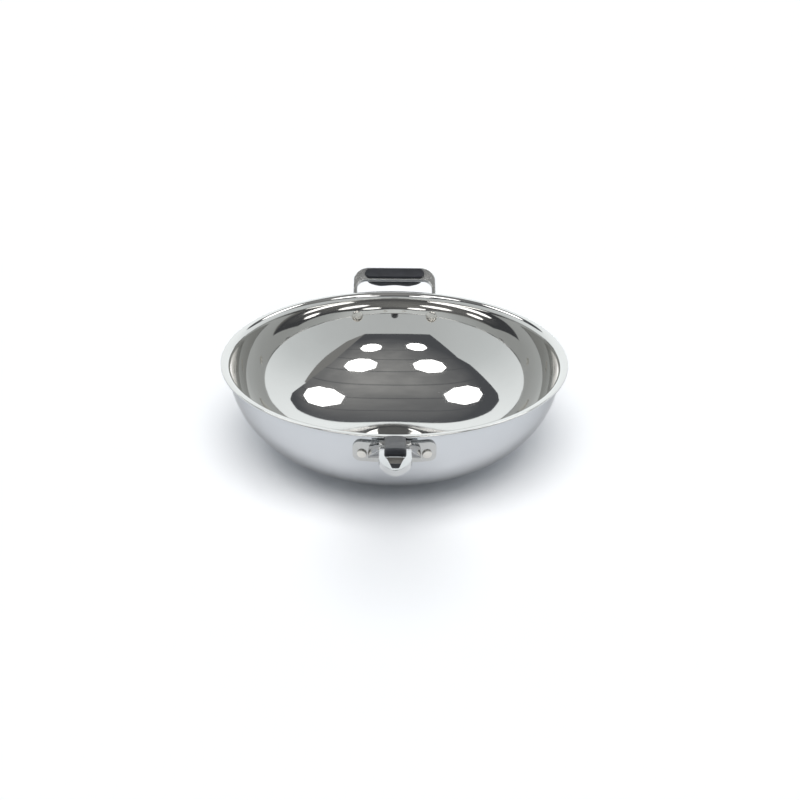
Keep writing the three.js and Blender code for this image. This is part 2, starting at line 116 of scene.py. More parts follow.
class LongHandleSettings(bpy.types.PropertyGroup):
    flange_width: length("Flange width", "Riveted plate, side to side", 76)
    flange_height: length("Flange height", "Riveted plate, top to bottom", 22)
    flange_drop: length("Flange drop", "Lip to the middle of the flange", 20)
    flange_thick: length("Flange thickness", "Thickness of the riveted plates of both handles", 2.6)
    flange_corner: length("Flange corner", "Corner radius of the flange", 7)
    rivet_spacing: length("Rivet spacing", "Between the two rivets", 58)
    rivet_drop: length("Rivet drop", "Lip to the rivets", 21)
    reach: length("Reach", "Wall to the tip, level", 173)
    rise: length("Rise", "Flange to the tip, upright", 81)
    root_angle: angle("Root angle", "Slope of the handle at the bowl", 38)
    tip_angle: angle("Tip angle", "Slope of the handle at its tip", 6)
    arch_pull: length("Arch pull", "Length of the two handles of the arch curve", 70)
    thick: length("Thickness", "Thickness of the frame along the grips", 5)
    root_thick: length("Root thickness", "Thickness of the frame at the bowl", 9)
    grip_width: length("Width", "Frame beside the grips", 26)
    root_width: length("Root width", "Fish tail at the flange", 48)
    root_length: length("Root length", "Length over which the fish tail narrows", 40)
    tip_width: length("Tip width", "Frame beside the hanging hole", 25)
    tip_round: length("Tip round", "Length of the rounded tip", 26)
    hole_length: length("Hole length", "Hanging hole along the handle", 22.5)
    hole_rear_width: length("Hole rear width", "Hanging hole beside the grips", 13.5)
    hole_front_width: length("Hole front width", "Hanging hole at the tip", 4.8)
    hole_margin: length("Hole margin", "Metal between the hole and the tip", 3.8)
    hole_corner: length("Hole corner", "Corner radius of the hanging hole", 2)
    edge_round: length("Edge round", "Rounding of the frame's upper edges", 1.3)
    under_round: length("Under round", "Rounding of the frame's lower edges", 3.3)
    grip_rear: length("Grip rear", "Root to the rear end of the grips", 46)
    grip_hole_gap: length("Grip gap", "Grips to the hanging hole", 4)
    upper_width: length("Upper grip width", "Upper grip, side to side", 17)
    upper_gap: length("Upper grip gap", "Upper grip to the hanging hole", 7.5)
    lower_width: length("Lower grip width", "Lower grip, side to side", 17)
    proud: length("Upper grip height", "Upper grip above the frame", 4.4)
    lower_depth: length("Lower grip depth", "Lower grip below the frame", 8)
    screw_inset: length("Screw inset", "End of the grips to a screw", 17)


class LoopHandleSettings(bpy.types.PropertyGroup):
    tilt: angle("Tilt", "Slope of the loop's plane", 33)
    drop: length("Drop", "Lip to where the plane meets the wall", 12.2)
    width: length("Width", "Loop, side to side", 97)
    reach: length("Reach", "Wall to the outer edge", 49.9)
    bar: length("Bar", "Outer bar, inner edge to outer edge", 18)
    leg: length("Leg", "Width of the two legs", 4.4)
    outer_corner: length("Outer corner", "Outer corner radius", 18)
    inner_corner: length("Inner corner", "Inner corner radius", 11)
    thick: length("Thickness", "Thickness of the loop", 4.6)
    edge_round: length("Edge round", "Rounding of the loop's edges", 1.1)
    foot_width: length("Foot width", "Riveted foot, side to side", 22)
    foot_height: length("Foot height", "Riveted foot, top to bottom", 30)
    foot_drop: length("Foot drop", "Lip to the rivets and the middle of the feet", 25.7)
    foot_spacing: length("Foot spacing", "Between the two feet", 88)
    foot_corner: length("Foot corner", "Corner radius of the feet", 9)
    upper_length: length("Upper grip length", "Upper grip, end to end", 71)
    upper_width: length("Upper grip width", "Upper grip across the bar", 13.6)
    proud: length("Upper grip height", "Upper grip above the loop", 3)
    lower_length: length("Lower grip length", "Lower grip, end to end", 68)
    lower_width: length("Lower grip width", "Lower grip across the bar", 16.3)
    lower_depth: length("Lower grip depth", "Lower grip below the loop", 12)
    lower_shift: length("Lower grip shift", "Lower grip toward the bowl from the middle of the bar", 0.85)
    wave: length("Finger wave", "Difference in depth along the lower grip", 2.2)
    end_rise: length("End rise", "Lift of the lower grip toward its ends", 4.5)
    screw_spacing: length("Screw spacing", "Between the two screws", 40)


class FinishSettings(bpy.types.PropertyGroup):
    inside: colour("Inside steel", "Mirror polish inside the bowl and on its lip", (0.64, 0.635, 0.62))
    # The outside is a softer polish than the inside, and its darker, bluer tint is painted shade standing
    # in for the bluish shaded floor that it mirrors.
    outside: colour("Outside steel", "Soft polish outside the bowl", (0.575, 0.59, 0.61))
    handle: colour("Handle steel", "Bright polish of the long handle's frame", (0.53, 0.535, 0.535))
    flange: colour("Flange steel", "Satin of the riveted plates and the loop", (0.50, 0.50, 0.49))
    # The cut steel is rough like a cut face, and its dark tint is painted shade inside the hanging hole.
    cut: colour("Cut steel", "Cut face inside the hanging hole", (0.20, 0.19, 0.175))
    rivet: colour("Rivet steel", "Polish of the rivets and screws", (0.66, 0.64, 0.60))
    grip: colour("Grip black", "Black plastic of the grips", (0.013, 0.014, 0.018))


class StageSettings(bpy.types.PropertyGroup):
    camera_place: position("Camera place", "Where the camera stands", (-0.0043, -1.03482, 0.58168))
    camera_turn: rotation(
        "Camera turn", "Which way the camera looks",
        (math.radians(63.048), math.radians(-0.591), math.radians(-0.278)),
    )
    lens: number("Lens", "Focal length in millimetres", 49.5)
    floor: colour("Floor", "Colour of the floor", (0.98, 0.97, 0.965))
    ceiling_edge: colour("Ceiling edge", "Edge of the mirrored dark ceiling", (0.10, 0.105, 0.115))
    ceiling_middle: colour("Ceiling middle", "Middle of the ceiling", (0.44, 0.44, 0.435))
    ceiling_margin: colour("Ceiling margin", "Paler strip on one side of the ceiling", (0.27, 0.27, 0.265))
    room_front: colour("Front walls", "Mirrored walls on the camera's side", (0.48, 0.50, 0.505))
    room_side: colour("Side walls", "The room's side walls", (0.60, 0.63, 0.64))
    room_back: colour("Back walls", "Room walls behind the bowl", (0.93, 0.97, 0.985))
    fill: colour("Fill", "Light from all round", (0.285, 0.32, 0.355))
    key: number("Key", "Strength of the soft key light", 2.6)
    key_height: angle("Key height", "Key light above the floor", 63)
    key_spread: angle("Key spread", "Width of the soft key light", 46)
    ceiling_height: length("Ceiling height", "Floor to the ceiling", 2200)
    softbox_glow: number("Softbox glow", "Brightness of a softbox's face", 4.0)


# ---------------------------------------------------------------- meshes

def link_object(name, data):
    made = bpy.data.objects.new(name, data)
    bpy.context.scene.collection.objects.link(made)
    return made


def new_object(name, shape, materials):
    """Object of a finished bmesh, at the origin and shaded smooth up to its sharp edges."""
    for face in shape.faces:
        face.smooth = True
    for edge in shape.edges:
        edge.smooth = edge.calc_face_angle(0.0) < SMOOTH_LIMIT
    mesh = bpy.data.meshes.new(name)
    shape.to_mesh(mesh)
    shape.free()
    for material in materials:
        mesh.materials.append(material)
    return link_object(name, mesh)


def new_piece(node, slot, shape, *materials):
    """Finished piece that stands for one node of the frame."""
    if not shape.faces:
        raise RuntimeError(f"{node} has no faces")
    piece = new_object(f"wok_{node}", shape, finishes(*materials))
    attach(piece, "root")
    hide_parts(node)
    return piece


def join(shape, other):
    """Adds another bmesh to a shape."""
    carrier = bpy.data.meshes.new("carrier")
    other.to_mesh(carrier)
    other.free()
    shape.from_mesh(carrier)
    bpy.data.meshes.remove(carrier)


def move_points(shape, place):
    for vert in shape.verts:
        vert.co = place(vert.co)
    bmesh.ops.recalc_face_normals(shape, faces=shape.faces)


def slice_along(shape, axis, places):
    """Cuts a shape square to one axis, so that it can bend there."""
    normal = Vector((axis == 0, axis == 1, axis == 2))
    for place in places:
        everything = shape.verts[:] + shape.edges[:] + shape.faces[:]
        bmesh.ops.bisect_plane(
            shape, geom=everything, dist=SAME_PLACE, plane_co=normal * place, plane_no=normal,
        )


def spread(low, high, count):
    """Places between two ends, without the ends."""
    return [low + (high - low) * i / count for i in range(1, count)]


def sharp_edges(shape, degrees=60):
    return [edge for edge in shape.edges if edge.calc_face_angle(0.0) > math.radians(degrees)]


def climb(edge):
    return abs(edge.verts[0].co.z - edge.verts[1].co.z)


def midpoint(edge):
    return (edge.verts[0].co + edge.verts[1].co) / 2


def round_edges(shape, edges, radius, segments):
    bmesh.ops.bevel(
        shape, geom=edges, offset=radius, offset_type="OFFSET", affect="EDGES",
        segments=segments, profile=0.5, material=-1, clamp_overlap=True,
    )


def round_corners(shape, verts, radius, segments):
    bmesh.ops.bevel(
        shape, geom=verts, offset=radius, offset_type="OFFSET", affect="VERTICES",
        segments=segments, profile=0.5, material=-1,
    )


def created(create, **values):
    """New bmesh with one basic shape."""
    shape = bmesh.new()
    create(shape, **values)
    return shape


def flat_shape(corners, height=0.0):
    """Level sheet from its corners."""
    shape = bmesh.new()
    shape.faces.new([shape.verts.new((x, y, height)) for x, y in corners])
    return shape


def thicken(shape, thickness, low):
    """Turns a flat sheet into a plate that stands on a height."""
    bmesh.ops.recalc_face_normals(shape, faces=shape.faces)
    bmesh.ops.solidify(shape, geom=shape.faces[:], thickness=thickness)
    lowest = min(vert.co.z for vert in shape.verts)
    bmesh.ops.translate(shape, verts=shape.verts, vec=(0, 0, low - lowest))


def rounded_sheet(width, height, corner):
    """Flat rectangle with round corners about the origin."""
    shape = created(bmesh.ops.create_grid, x_segments=1, y_segments=1, size=0.5)
    bmesh.ops.scale(shape, verts=shape.verts, vec=(width, height, 1))
    round_corners(shape, shape.verts[:], corner, segments=8)
    return shape


def turned(points, steps):
    """Form turned about Z from radius and height points that start on the axis."""
    shape = bmesh.new()
    verts = [shape.verts.new((radius, 0, height)) for radius, height in points]
    edges = [shape.edges.new(pair) for pair in zip(verts, verts[1:])]
    bmesh.ops.spin(
        shape, geom=verts + edges, cent=(0, 0, 0), axis=(0, 0, 1), angle=2 * math.pi, steps=steps,
        use_merge=True,
    )
    bmesh.ops.remove_doubles(shape, verts=shape.verts, dist=SAME_PLACE)
    bmesh.ops.recalc_face_normals(shape, faces=shape.faces)
    return shape


def curve_points(start, pull, push, end, steps):
    corners = [Vector(point) for point in (start, pull, push, end)]
    return [tuple(point) for point in interpolate_bezier(*corners, steps + 1)]


def blend(low, high, along):
    return low + (high - low) * along


def ease(low, high, value):
    along = min(max((value - low) / (high - low), 0.0), 1.0)
    return along * along * (3 - 2 * along)


def drill(piece, wells):
    """Cuts round wells into a piece with Blender's own cutter and keeps the result."""
    cutters = []
    for index, well in enumerate(wells):
        cutter = new_object(f"well_{index}", well, [])
        cutters.append(cutter)
        modifier = piece.modifiers.new(f"Well {index}", "BOOLEAN")
        modifier.operation = "DIFFERENCE"
        modifier.solver = "EXACT"
        modifier.object = cutter
    bpy.context.view_layer.update()
    cut = bpy.data.meshes.new_from_object(piece.evaluated_get(bpy.context.evaluated_depsgraph_get()))
    whole = piece.data
    piece.modifiers.clear()
    piece.data = cut
    cut.name = whole.name
    bpy.data.meshes.remove(whole)
    for cutter in cutters:
        mesh = cutter.data
        bpy.data.objects.remove(cutter)
        bpy.data.meshes.remove(mesh)


# ---------------------------------------------------------------- bowl and wall

def wall_top(bowl):
    return Vector((bowl.rim_radius - bowl.lip_reach, bowl.height - bowl.wall - bowl.lip_bend))


def wall_line(bowl, outward=0.0, steps=72):
    """Line of the wall as radius and height, moved outward along its normal."""
    top = wall_top(bowl)
    foot = Vector((bowl.base_radius, 0))
    slope = Vector((math.cos(bowl.base_angle), math.sin(bowl.base_angle)))
    pull = foot + slope * bowl.base_pull * (top.x - foot.x)
    push = Vector((top.x, top.y * (1 - bowl.wall_pull)))
    line = interpolate_bezier(foot, pull, push, top, steps + 1)
    moved = []
    for index, point in enumerate(line):
        along = (line[min(index + 1, steps)] - line[max(index - 1, 0)]).normalized()
        moved.append(point + Vector((along.y, -along.x)) * outward)
    return moved


def radius_at(line, height):
    """Radius of a wall line at a height, carried on upright past its ends."""
    for low, high in zip(line, line[1:]):
        if low.y <= height <= high.y:
            return blend(low.x, high.x, (height - low.y) / max(high.y - low.y, 1e-9))
    return line[0].x if height < line[0].y else line[-1].x


def wall_frame(bowl, x, height, side):
    """Frame on the outer face of the wall, with Z along the outward normal."""
    line = wall_line(bowl)
    radius = radius_at(line, height)
    step = 0.5 * MM
    along = Vector((radius_at(line, height + step) - radius_at(line, height - step), 2 * step)).normalized()
    y = side * math.sqrt(radius ** 2 - x ** 2)
    normal = Vector((along.y * x / radius, along.y * y / radius, -along.x))
    turn = Vector((0, 0, 1)).rotation_difference(normal).to_matrix().to_4x4()
    return Matrix.Translation((x, y, height)) @ turn


def wall_plate(bowl, width, height, corner, thick, x, middle, side):
    """Riveted plate with round corners that follows the wall."""
    cuts_across, cuts_up, edge = 24, 8, 0.55 * MM
    plate = rounded_sheet(width, height, corner)
    slice_along(plate, 0, spread(-width / 2, width / 2, cuts_across))
    slice_along(plate, 1, spread(-height / 2, height / 2, cuts_up))
    thicken(plate, thick, CLEARANCE)
    round_edges(plate, sharp_edges(plate), edge, segments=3)
    levels = {}

    def on_wall(point):
        key = round(point.z, 7)
        if key not in levels:
            levels[key] = wall_line(bowl, point.z)
        radius = radius_at(levels[key], middle + point.y)
        across = x + point.x
        return Vector((across, side * math.sqrt(radius ** 2 - across ** 2), middle + point.y))

    move_points(plate, on_wall)
    return plate


def keep_outside(bowl, point, gap):
    """Moves a point out of the wall along Y."""
    line = wall_line(bowl, gap)
    radius = radius_at(line, point.z)
    if math.hypot(point.x, point.y) >= radius:
        return point
    return Vector((point.x, math.copysign(math.sqrt(radius ** 2 - point.x ** 2), point.y), point.z))


class WOK_OT_bowl(bpy.types.Operator):
    """Spin the wall and the lip, give the sheet its thickness and round the rim"""

    bl_idname = "wok.bowl"
    bl_label = "Bowl"

    RIM_ROUND = 0.46    # of the wall
    FACING_UP = 0.3     # upward share of a face's normal from which it has the inside's polish
    INSIDE, OUTSIDE = 0, 1

    def execute(self, context):
        bowl = context.scene.wok_bowl
        top = wall_top(bowl)
        bend = CIRCLE_PULL * bowl.lip_bend
        crest = (top.x + bowl.lip_bend, top.y + bowl.lip_bend)
        lip = curve_points(top, (top.x, top.y + bend), (crest[0] - bend, crest[1]), crest, steps=8)
        line = [(0, 0), (bowl.base_radius / 2, 0)] + [tuple(p) for p in wall_line(bowl)]
        line += lip[1:] + [(bowl.rim_radius, crest[1])]
        shape = turned(line, bowl.turn_steps)
        floor = min(shape.faces, key=lambda face: face.calc_center_median().length)
        if floor.normal.z > 0:
            bmesh.ops.reverse_faces(shape, faces=shape.faces)
        bmesh.ops.solidify(shape, geom=shape.faces[:], thickness=bowl.wall)
        round_edges(shape, sharp_edges(shape), self.RIM_ROUND * bowl.wall, segments=5)
        for face in shape.faces:
            middle = face.calc_center_median()
            inward = face.normal.x * middle.x + face.normal.y * middle.y < 0
            polished = inward or face.normal.z > self.FACING_UP
            face.material_index = self.INSIDE if polished else self.OUTSIDE
        new_piece("bowl", "bowl_steel", shape, "Mirror steel", "Satin steel")
        return {"FINISHED"}


# ---------------------------------------------------------------- long handle

class Arch:
    """Arched centreline of the long handle, by length along it."""

    POINTS = 401

    def __init__(self, bowl, handle):
        root = Vector((wall_top(bowl).x, bowl.height - handle.flange_drop))
        tip = root + Vector((handle.reach, handle.rise))
        pull = Vector((math.cos(handle.root_angle), math.sin(handle.root_angle))) * handle.arch_pull
        push = Vector((math.cos(handle.tip_angle), math.sin(handle.tip_angle))) * handle.arch_pull
        self.points = interpolate_bezier(root, root + pull, tip - push, tip, self.POINTS)
        self.marks = [0.0]
        for low, high in zip(self.points, self.points[1:]):
            self.marks.append(self.marks[-1] + (high - low).length)
        self.length = self.marks[-1]

    def frame(self, s):
        """Frame with X across, Y along the handle and Z up from the centreline."""
        index = min(max(sum(mark <= s for mark in self.marks) - 1, 0), len(self.points) - 2)
        low, high = self.points[index], self.points[index + 1]
        along = (high - low).normalized()
        place = low + along * (s - self.marks[index])
        return Matrix((
            (-1, 0, 0, 0),
            (0, -along.x, along.y, -place.x),
            (0, along.y, along.x, place.y),
            (0, 0, 0, 1),
        ))

    def place(self, point):
        return self.frame(point.y) @ Vector((point.x, 0, point.z))


class FramePattern:
    """Flat pattern of the long handle's frame as a grid that runs round the hanging hole."""

    BODY_ROWS = 46
    HOLE_ROWS = 9
    END_SHARES = (0.0, 0.38, 1.0)
    INNER = 2
    OUTER_SHARES = (0.0, 0.30, 0.56, 1.0)
    CORNER = math.radians(46)
    START = -4 * MM     # the frame starts inside the flange
    TIP_POINT = 1.35            # 1 is a plain ellipse, more is a pointed tip
    STRAIGHT = 0.02             # share of the rows beside the hole that lie before the rounded tip

    def __init__(self, handle, arch):
        self.handle = handle
        self.arch = arch
        self.hole_front = arch.length - handle.hole_margin
        self.hole_rear = self.hole_front - handle.hole_length
        self.rows = self.BODY_ROWS + self.HOLE_ROWS + len(self.END_SHARES) - 1
        self.half_columns = self.INNER + len(self.OUTER_SHARES) - 1

    def half_width(self, s):
        handle = self.handle
        flare = 1 - ease(0, handle.root_length, s)
        taper = ease(handle.grip_rear, self.arch.length - handle.tip_round, s)
        body = blend(handle.grip_width, handle.tip_width, taper)
        return (body + flare * (handle.root_width - handle.grip_width)) / 2

    def thickness(self, s):
        flare = 1 - ease(0, self.handle.root_length, s)
        return 1 + flare * (self.handle.root_thick / self.handle.thick - 1)

    def tip(self, turn):
        """Point of the rounded tip by its angle from the side."""
        base = self.arch.length - self.handle.tip_round
        return Vector((
            self.half_width(base) * math.cos(turn) ** self.TIP_POINT,
            base + self.handle.tip_round * math.sin(turn),
        ))

    def edge(self, along):
        """Outer edge beside and past the hole, from the hole's rear to the tip's corner."""
        if along < self.STRAIGHT:
            s = blend(self.hole_rear, self.arch.length - self.handle.tip_round, along / self.STRAIGHT)
            return Vector((self.half_width(s), s))
        return self.tip((along - self.STRAIGHT) / (1 - self.STRAIGHT) * self.CORNER)

    def end(self, column):
        return self.tip(math.pi / 2 - (math.pi / 2 - self.CORNER) * column / self.half_columns)

    def hole_edge(self, along):
        width = blend(self.handle.hole_rear_width, self.handle.hole_front_width, along)
        return Vector((width / 2, blend(self.hole_rear, self.hole_front, along)))

    def half_point(self, column, row):
        inside = min(column / self.INNER, 1.0)
        outside = self.OUTER_SHARES[max(column - self.INNER, 0)]
        if row <= self.BODY_ROWS:
            s = blend(self.START, self.hole_rear, row / self.BODY_ROWS)
            inner = self.handle.hole_rear_width / 2
            return Vector((blend(inside * inner, self.half_width(s), outside), s))
        past = row - self.BODY_ROWS
        edge = self.edge(past / (self.rows - self.BODY_ROWS))
        if past <= self.HOLE_ROWS:
            inner = self.hole_edge(past / self.HOLE_ROWS)
            return blend(Vector((inside * inner.x, inner.y)), edge, outside)
        along = self.END_SHARES[past - self.HOLE_ROWS]
        corner = self.hole_edge(1)
        if column <= self.INNER:
            return blend(Vector((inside * corner.x, corner.y)), self.end(column), along)
        inner = blend(corner, self.end(self.INNER), along)
        chord = blend(self.end(self.INNER), self.end(self.half_columns), outside)
        return blend(inner, edge, outside) + (self.end(column) - chord) * along

    def sheet(self):
        """Flat sheet with the hanging hole left open."""
        columns = 2 * self.half_columns
        shape = created(bmesh.ops.create_grid, x_segments=columns, y_segments=self.rows, size=1)
        hole = []
        for face in shape.faces:
            middle = face.calc_center_median()
            row = (middle.y + 1) / 2 * self.rows - self.BODY_ROWS
            if abs(middle.x) * self.half_columns < self.INNER and 0 < row < self.HOLE_ROWS:
                hole.append(face)
        bmesh.ops.delete(shape, geom=hole, context="FACES")
        for vert in shape.verts:
            column = round(vert.co.x * self.half_columns)
            row = round((vert.co.y + 1) / 2 * self.rows)
            point = self.half_point(abs(column), row)
            vert.co = Vector((math.copysign(point.x, column) if column else 0.0, point.y, 0))
        return shape


# Lengthwise cuts of a grip, as shares of its width.
GRIP_CUTS = (-0.3, -0.12, 0, 0.12, 0.3)


def grip_block(along, across, height, corner, crown, fall, cuts):
    """Block with round corners, on z = 0 and centred, ready to bend along Y.

    Its top edges are rounded by the crown, and its top falls away toward its long edges.
    """
    shape = created(bmesh.ops.create_cube, size=1)
    bmesh.ops.scale(shape, verts=shape.verts, vec=(across, along, height))
    bmesh.ops.translate(shape, verts=shape.verts, vec=(0, 0, height / 2))
    round_edges(shape, [e for e in shape.edges if climb(e) > height / 2], corner, segments=7)
    top = [e for e in sharp_edges(shape, degrees=50) if min(v.co.z for v in e.verts) > 0.9 * height]
    round_edges(shape, top, crown, segments=5)
    slice_along(shape, 1, spread(-along / 2, along / 2, cuts))
    slice_along(shape, 0, [cut * across for cut in GRIP_CUTS])
    highest = max(vert.co.z for vert in shape.verts)
    for vert in shape.verts:
        vert.co.z -= fall * (2 * vert.co.x / across) ** 2 * vert.co.z / highest
    return shape


def add_grips(owner, handle, fasteners, upper, lower, place_upper, place_lower, screws, face):
    """Makes a handle's two grips from their blocks and sinks the screws' wells into the lower one."""
    half = handle.thick / 2
    seat = half - fasteners.recess + CLEARANCE
    shape = grip_block(height=half + handle.proud - seat, **upper)
    move_points(shape, lambda p: place_upper(Vector((p.x, p.y, seat + p.z))))
    new_piece(f"{owner}_upper_grip", "grip_black", shape, "Grip black")

    shape = grip_block(height=handle.lower_depth - CLEARANCE, **lower)
    move_points(shape, lambda p: place_lower(Vector((p.x, p.y, -half - CLEARANCE - p.z))))
    piece = new_piece(f"{owner}_lower_grip", "grip_black", shape, "Grip black")
    drill(piece, [screw_well(matrix, fasteners, face) for matrix in screws])


def screw_well(matrix, fasteners, face):
    """Round well that takes a screw's head from below, on a screw's frame."""
    head_edge, past_face = 0.4 * MM, 3 * MM
    radius = fasteners.screw_head_radius + CLEARANCE
    floor = -face + fasteners.screw_sink + head_edge
    depth = fasteners.screw_sink + past_face
    return created(
        bmesh.ops.create_cone, cap_ends=True, segments=40, radius1=radius, radius2=radius, depth=depth,
        matrix=matrix @ Matrix.Translation((0, 0, floor - depth / 2)),
    )


def grip_front(handle, arch):
    return arch.length - handle.hole_margin - handle.hole_length - handle.grip_hole_gap


def long_screw_frames(handle, arch):
    inset = handle.screw_inset
    return [arch.frame(handle.grip_rear + inset), arch.frame(grip_front(handle, arch) - inset)]


def long_screw_face(handle):
    """Underside of the lower grip, below the middle of the frame."""
    return handle.thick / 2 + handle.lower_depth


class WOK_OT_long_frame(bpy.types.Operator):
    """Lay out the long handle's flat pattern, thicken it, round it, bend it and add its flange"""

    bl_idname = "wok.long_frame"
    bl_label = "Long handle frame"

    HOLE_EDGE = 0.7 * MM    # rounding of the hanging hole's edges
    FLANGE, CUT = 1, 2      # material slots after the handle's own; the last one darkens the hole's walls with painted shade

    def execute(self, context):
        bowl, handle = context.scene.wok_bowl, context.scene.wok_long_handle
        arch = Arch(bowl, handle)
        pattern = FramePattern(handle, arch)
        shape = pattern.sheet()
        thicken(shape, handle.thick, -handle.thick / 2)
        inside = 0.3 * handle.tip_width     # past the hole's sides and short of the frame's

        def in_hole(edge):
            return all(
                abs(v.co.x) < inside
                and pattern.hole_rear - CLEARANCE < v.co.y < pattern.hole_front + CLEARANCE
                for v in edge.verts
            )

        def rim():
            """Sharp outer edges, without those at the start inside the flange."""
            return [e for e in sharp_edges(shape) if not in_hole(e) and midpoint(e).y > pattern.START]

        upright = [e for e in sharp_edges(shape, degrees=40) if climb(e) > handle.thick / 2]
        corners = [e for e in upright if in_hole(e)]
        round_edges(shape, corners, handle.hole_corner, segments=5)
        round_edges(shape, [e for e in sharp_edges(shape) if in_hole(e)], self.HOLE_EDGE, segments=3)
        round_edges(shape, [e for e in rim() if e.verts[0].co.z < 0], handle.under_round, segments=6)
        top = [e for e in rim() if midpoint(e).z > 0.45 * handle.thick]
        round_edges(shape, top, handle.edge_round, segments=4)

        # Faces inside the hanging hole take the cut steel: their roughness is a cut face's, and their dark
        # tint is painted shade in the hole.
        for face in shape.faces:
            if abs(face.normal.z) < 0.5 and all(in_hole(edge) for edge in face.edges):
                face.material_index = self.CUT

        def bend(point):
            lifted = Vector((point.x, point.y, point.z * pattern.thickness(point.y)))
            return keep_outside(bowl, arch.place(lifted), handle.flange_thick / 2)

        move_points(shape, bend)
        plate = wall_plate(
            bowl, handle.flange_width, handle.flange_height, handle.flange_corner, handle.flange_thick,
            x=0, middle=bowl.height - handle.flange_drop, side=-1,
        )
        for face in plate.faces:
            face.material_index = self.FLANGE
        join(shape, plate)
        new_piece("long_handle_frame", "handle_steel", shape, "Handle steel", "Flange steel", "Cut steel")
        return {"FINISHED"}


class WOK_OT_long_grips(bpy.types.Operator):
    """Shape the long handle's upper and lower grips and bend them along its arch"""

    bl_idname = "wok.long_grips"
    bl_label = "Long handle grips"

    def execute(self, context):
        scene = context.scene
        handle, fasteners = scene.wok_long_handle, scene.wok_fasteners
        arch = Arch(scene.wok_bowl, handle)
        rear, front = handle.grip_rear, grip_front(handle, arch)
        middle, along = (rear + front) / 2, front - rear
        short = handle.upper_gap - handle.grip_hole_gap
        add_grips(
            "long_handle", handle, fasteners,
            upper=dict(
                along=along - short, across=handle.upper_width, corner=3.6 * MM,
                crown=2.2 * MM, fall=0.5 * MM, cuts=40,
            ),
            lower=dict(
                along=along, across=handle.lower_width, corner=6 * MM,
                crown=4.2 * MM, fall=0.6 * MM, cuts=40,
            ),
            place_upper=lambda p: arch.place(Vector((p.x, p.y + middle - short / 2, p.z))),
            place_lower=lambda p: arch.place(Vector((p.x, p.y + middle, p.z))),
            screws=long_screw_frames(handle, arch), face=long_screw_face(handle),
        )
        return {"FINISHED"}


# ---------------------------------------------------------------- loop handle

def loop_matrix(bowl, loop):
    """Frame of the loop's plane: X across, Y outward, Z square to the plane."""
    place = Matrix.Translation((0, wall_top(bowl).x, bowl.height - loop.drop))
    return place @ Matrix.Rotation(loop.tilt, 4, "X")


def bar_centre(loop):
    return loop.reach - loop.bar / 2


def loop_screw_frames(bowl, loop):
    plane, x = loop_matrix(bowl, loop), loop.screw_spacing / 2
    return [plane @ Matrix.Translation((side * x, bar_centre(loop), 0)) for side in (-1, 1)]


def loop_screw_face(loop):
    """Underside of the lower grip at the screws, below the middle of the loop."""
    return loop.thick / 2 + loop.lower_depth - loop.wave


class WOK_OT_loop_frame(bpy.types.Operator):
    """Cut the loop from a flat blank, round its corners and edges and add its two riveted feet"""

    bl_idname = "wok.loop_frame"
    bl_label = "Loop handle frame"

    FOOT = -7 * MM      # the legs start behind the wall's face and are then moved out of the wall

    def execute(self, context):
        bowl, loop = context.scene.wok_bowl, context.scene.wok_loop_handle
        thick = context.scene.wok_long_handle.flange_thick
        foot, bar = self.FOOT, loop.reach - loop.bar
        out, inner = loop.width / 2, loop.width / 2 - loop.leg
        shape = flat_shape([
            (out, foot), (out, loop.reach), (-out, loop.reach), (-out, foot),
            (-inner, foot), (-inner, bar), (inner, bar), (inner, foot),
        ])
        corners = list(shape.verts)
        round_corners(shape, corners[1:3], loop.outer_corner, segments=14)
        round_corners(shape, corners[5:7], loop.inner_corner, segments=14)
        thicken(shape, loop.thick, -loop.thick / 2)
        rim = [
            e for e in sharp_edges(shape)
            if max(v.co.y for v in e.verts) > foot + CLEARANCE and climb(e) < CLEARANCE
        ]
        round_edges(shape, rim, loop.edge_round, segments=4)
        plane = loop_matrix(bowl, loop)
        move_points(shape, lambda p: keep_outside(bowl, plane @ p, thick / 2))
        for side in (-1, 1):
            join(shape, wall_plate(
                bowl, loop.foot_width, loop.foot_height, loop.foot_corner, thick,
                x=side * loop.foot_spacing / 2, middle=bowl.height - loop.foot_drop, side=1,
            ))
        new_piece("loop_handle_frame", "handle_steel", shape, "Flange steel")
        return {"FINISHED"}


class WOK_OT_loop_grips(bpy.types.Operator):
    """Shape the loop handle's upper grip and its waved lower grip on the outer bar"""

    bl_idname = "wok.loop_grips"
    bl_label = "Loop handle grips"

    RISE_FROM = 0.45    # share of the way to its ends from which the lower grip lifts

    def execute(self, context):
        scene = context.scene
        loop, fasteners = scene.wok_loop_handle, scene.wok_fasteners
        plane = loop_matrix(scene.wok_bowl, loop)
        centre, seat = bar_centre(loop), -loop.thick / 2 - CLEARANCE
        depth, reach = loop.lower_depth - CLEARANCE, loop.lower_length / 2

        def waved(point):
            hollow = loop.wave * (1 + math.cos(2 * math.pi * point.y / reach)) / 2
            hollow += loop.end_rise * ease(self.RISE_FROM * reach, reach, abs(point.y))
            height = (seat - point.z) * (1 - hollow / depth)
            return plane @ Vector((point.y, centre - loop.lower_shift + point.x, seat - height))

        add_grips(
            "loop_handle", loop, fasteners,
            upper=dict(
                along=loop.upper_length, across=loop.upper_width, corner=0.49 * loop.upper_width,
                crown=1.5 * MM, fall=0.4 * MM, cuts=30,
            ),
            lower=dict(
                along=loop.lower_length, across=loop.lower_width, corner=0.48 * loop.lower_width,
                crown=5 * MM, fall=0.5 * MM, cuts=48,
            ),
            place_upper=lambda p: plane @ Vector((p.y, centre + p.x, p.z)),
            place_lower=waved,
            screws=loop_screw_frames(scene.wok_bowl, loop), face=loop_screw_face(loop),
        )
        return {"FINISHED"}


# ---------------------------------------------------------------- fasteners

